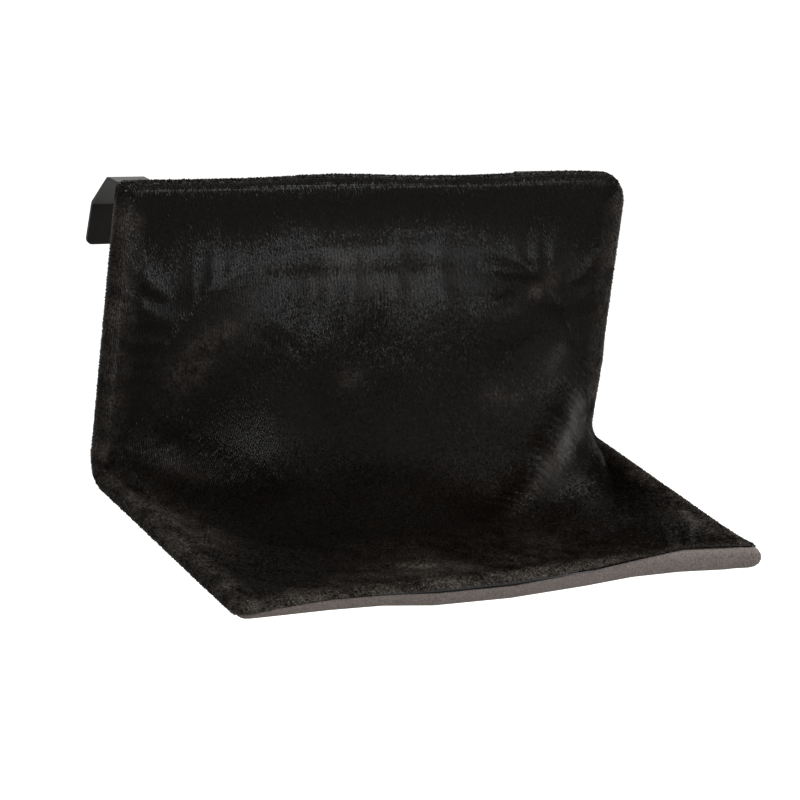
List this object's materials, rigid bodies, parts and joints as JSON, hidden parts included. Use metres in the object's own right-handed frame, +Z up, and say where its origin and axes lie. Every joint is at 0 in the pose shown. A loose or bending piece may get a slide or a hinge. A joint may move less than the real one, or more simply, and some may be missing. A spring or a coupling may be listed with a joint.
{
  "type": "radiator cat hammock",
  "caption": "Plush-covered cat hammock on a bent tube frame, hung from a radiator by adjustable flat strip hooks.",
  "frame": {"origin": "midway between the hook brackets, in the middle plane of the back frame's tube, on the plane of the brackets' undersides, which rests on the radiator's top", "axes": "+X to the right of someone facing the seat, +Y back over the radiator, +Z up"},
  "size_m": [0.46, 0.3333, 0.2543],
  "materials": {
    "frame_tube": "semi-gloss powder coat on steel tube",
    "hook_steel": "satin black powder coat on steel strip",
    "zinc_screw": "bright zinc plate",
    "plush": "short black plush pile with a soft sheen",
    "lining_felt": "brushed grey felt-like cloth",
    "closure_tape": "black hook-and-loop tape"
  },
  "bodies": {
    "hammock": {"back_frame": "frame_tube", "seat_frame": "frame_tube", "frame_screws": "zinc_screw", "hook_bracket_left": "hook_steel", "hook_bracket_right": "hook_steel", "plush_panel": "plush", "lining_panel": "lining_felt", "closure_hook_tape": "closure_tape", "closure_loop_tape": "closure_tape"},
    "left_hook": {"radiator_hook_left": "hook_steel"},
    "left_clamp": {"clamp_screw_left": "zinc_screw", "clamp_washer_left": "zinc_screw"},
    "right_hook": {"radiator_hook_right": "hook_steel"},
    "right_clamp": {"clamp_screw_right": "zinc_screw", "clamp_washer_right": "zinc_screw"}
  },
  "joints": [
    {"name": "left_hook_slide", "type": "slide", "parent": "hammock", "child": "left_hook", "axis": [0, 1, 0], "range_m": [-0.015, 0.014]},
    {"name": "left_clamp_turn", "type": "hinge", "parent": "hammock", "child": "left_clamp", "pos_m": [-0.186, 0.032, 0.006], "axis": [0, 0, 1], "range_deg": [0, 360]},
    {"name": "right_hook_slide", "type": "slide", "parent": "hammock", "child": "right_hook", "axis": [0, 1, 0], "range_m": [-0.015, 0.014]},
    {"name": "right_clamp_turn", "type": "hinge", "parent": "hammock", "child": "right_clamp", "pos_m": [0.186, 0.032, 0.006], "axis": [0, 0, 1], "range_deg": [0, 360]}
  ]
}
